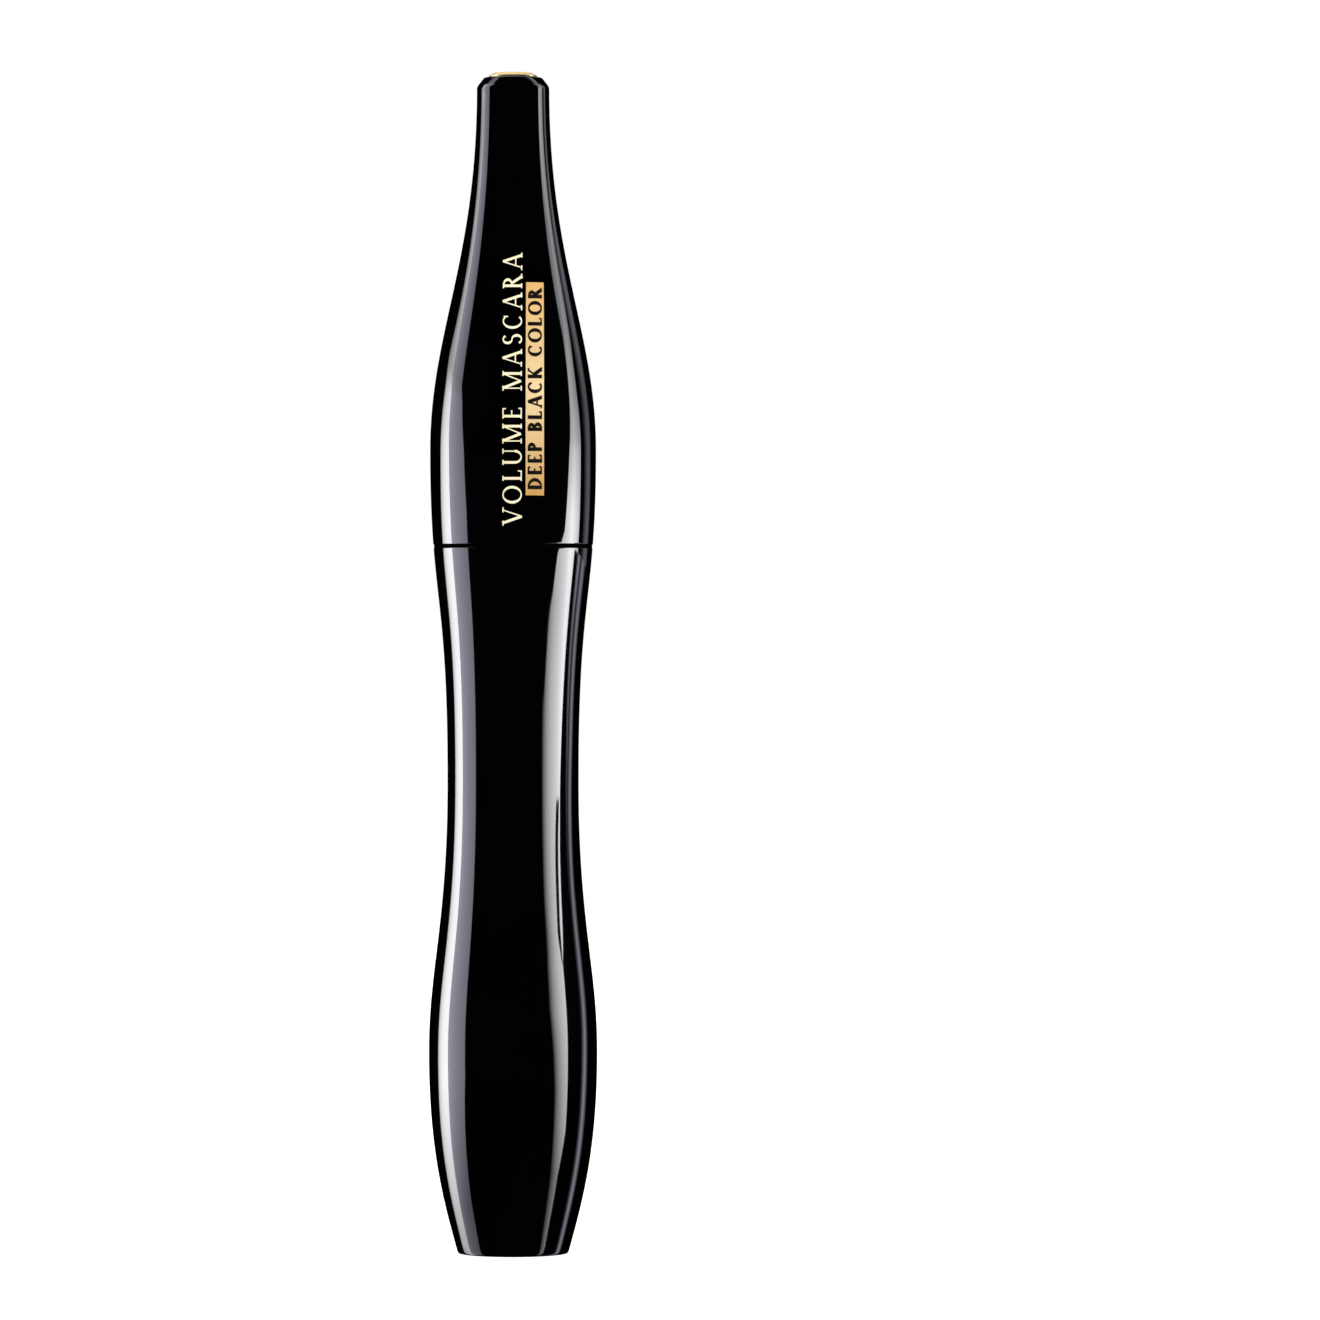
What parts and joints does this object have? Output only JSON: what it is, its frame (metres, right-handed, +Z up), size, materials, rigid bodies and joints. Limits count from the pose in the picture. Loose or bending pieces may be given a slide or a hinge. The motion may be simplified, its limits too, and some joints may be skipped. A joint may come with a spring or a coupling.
{
  "type": "mascara tube",
  "caption": "Closed hourglass mascara tube: glossy bottle with inner vial and wiper, and a waisted screw cap that carries the rod and twisted-wire brush.",
  "frame": {"origin": "centre of the base ring, on the surface that the tube stands on", "axes": "+Z up along the tube's axis of symmetry, -Y towards the front of the cap's print"},
  "size_m": [0.0196, 0.0196, 0.138],
  "materials": {
    "gloss_black": "high gloss, lacquered",
    "satin_black": "satin moulded",
    "rod_black": "glossy moulded stem",
    "label_film": "satin film",
    "soft_plastic": "soft waxy moulding",
    "mascara_paste": "wet paste",
    "gold_metal": "gold anodised, fine spun lines",
    "steel_wire": "drawn wire, dark with product",
    "bristle_fibre": "black fibres, slightly glossy"
  },
  "bodies": {
    "bottle": {"bottle_shell": "gloss_black", "base_plug": "satin_black", "base_label": "label_film", "vial": "satin_black", "wiper": "soft_plastic", "mascara_paste": "mascara_paste"},
    "seal": {"seal_washer": "soft_plastic"},
    "applicator": {"cap_shell": "gloss_black", "cap_liner": "satin_black", "cap_end_plug": "satin_black", "gold_disc": "gold_metal", "wand_rod": "rod_black", "brush_wire": "steel_wire", "bristle_row_01": "bristle_fibre", "bristle_row_02": "bristle_fibre", "bristle_row_03": "bristle_fibre", "bristle_row_04": "bristle_fibre", "bristle_row_05": "bristle_fibre", "bristle_row_06": "bristle_fibre", "bristle_row_07": "bristle_fibre", "bristle_row_08": "bristle_fibre", "bristle_row_09": "bristle_fibre", "bristle_row_10": "bristle_fibre", "bristle_row_11": "bristle_fibre", "bristle_row_12": "bristle_fibre", "bristle_row_13": "bristle_fibre", "bristle_row_14": "bristle_fibre", "bristle_row_15": "bristle_fibre", "bristle_row_16": "bristle_fibre", "bristle_row_17": "bristle_fibre", "bristle_row_18": "bristle_fibre", "bristle_row_19": "bristle_fibre"}
  },
  "joints": [
    {"name": "applicator_lift", "type": "slide", "parent": "bottle", "child": "seal", "axis": [0, 0, 1], "range_m": [0, 0.09], "deforming": ["wiper"]},
    {"name": "cap_turn", "type": "hinge", "parent": "seal", "child": "applicator", "pos_m": [0, 0, 0.0948], "axis": [0, 0, 1], "range_deg": [0, 6480], "deforming": ["wiper"]}
  ],
  "couplings": [
    {"joint": "applicator_lift", "follows": "cap_turn", "m_per_rad": 0.00079577}
  ]
}
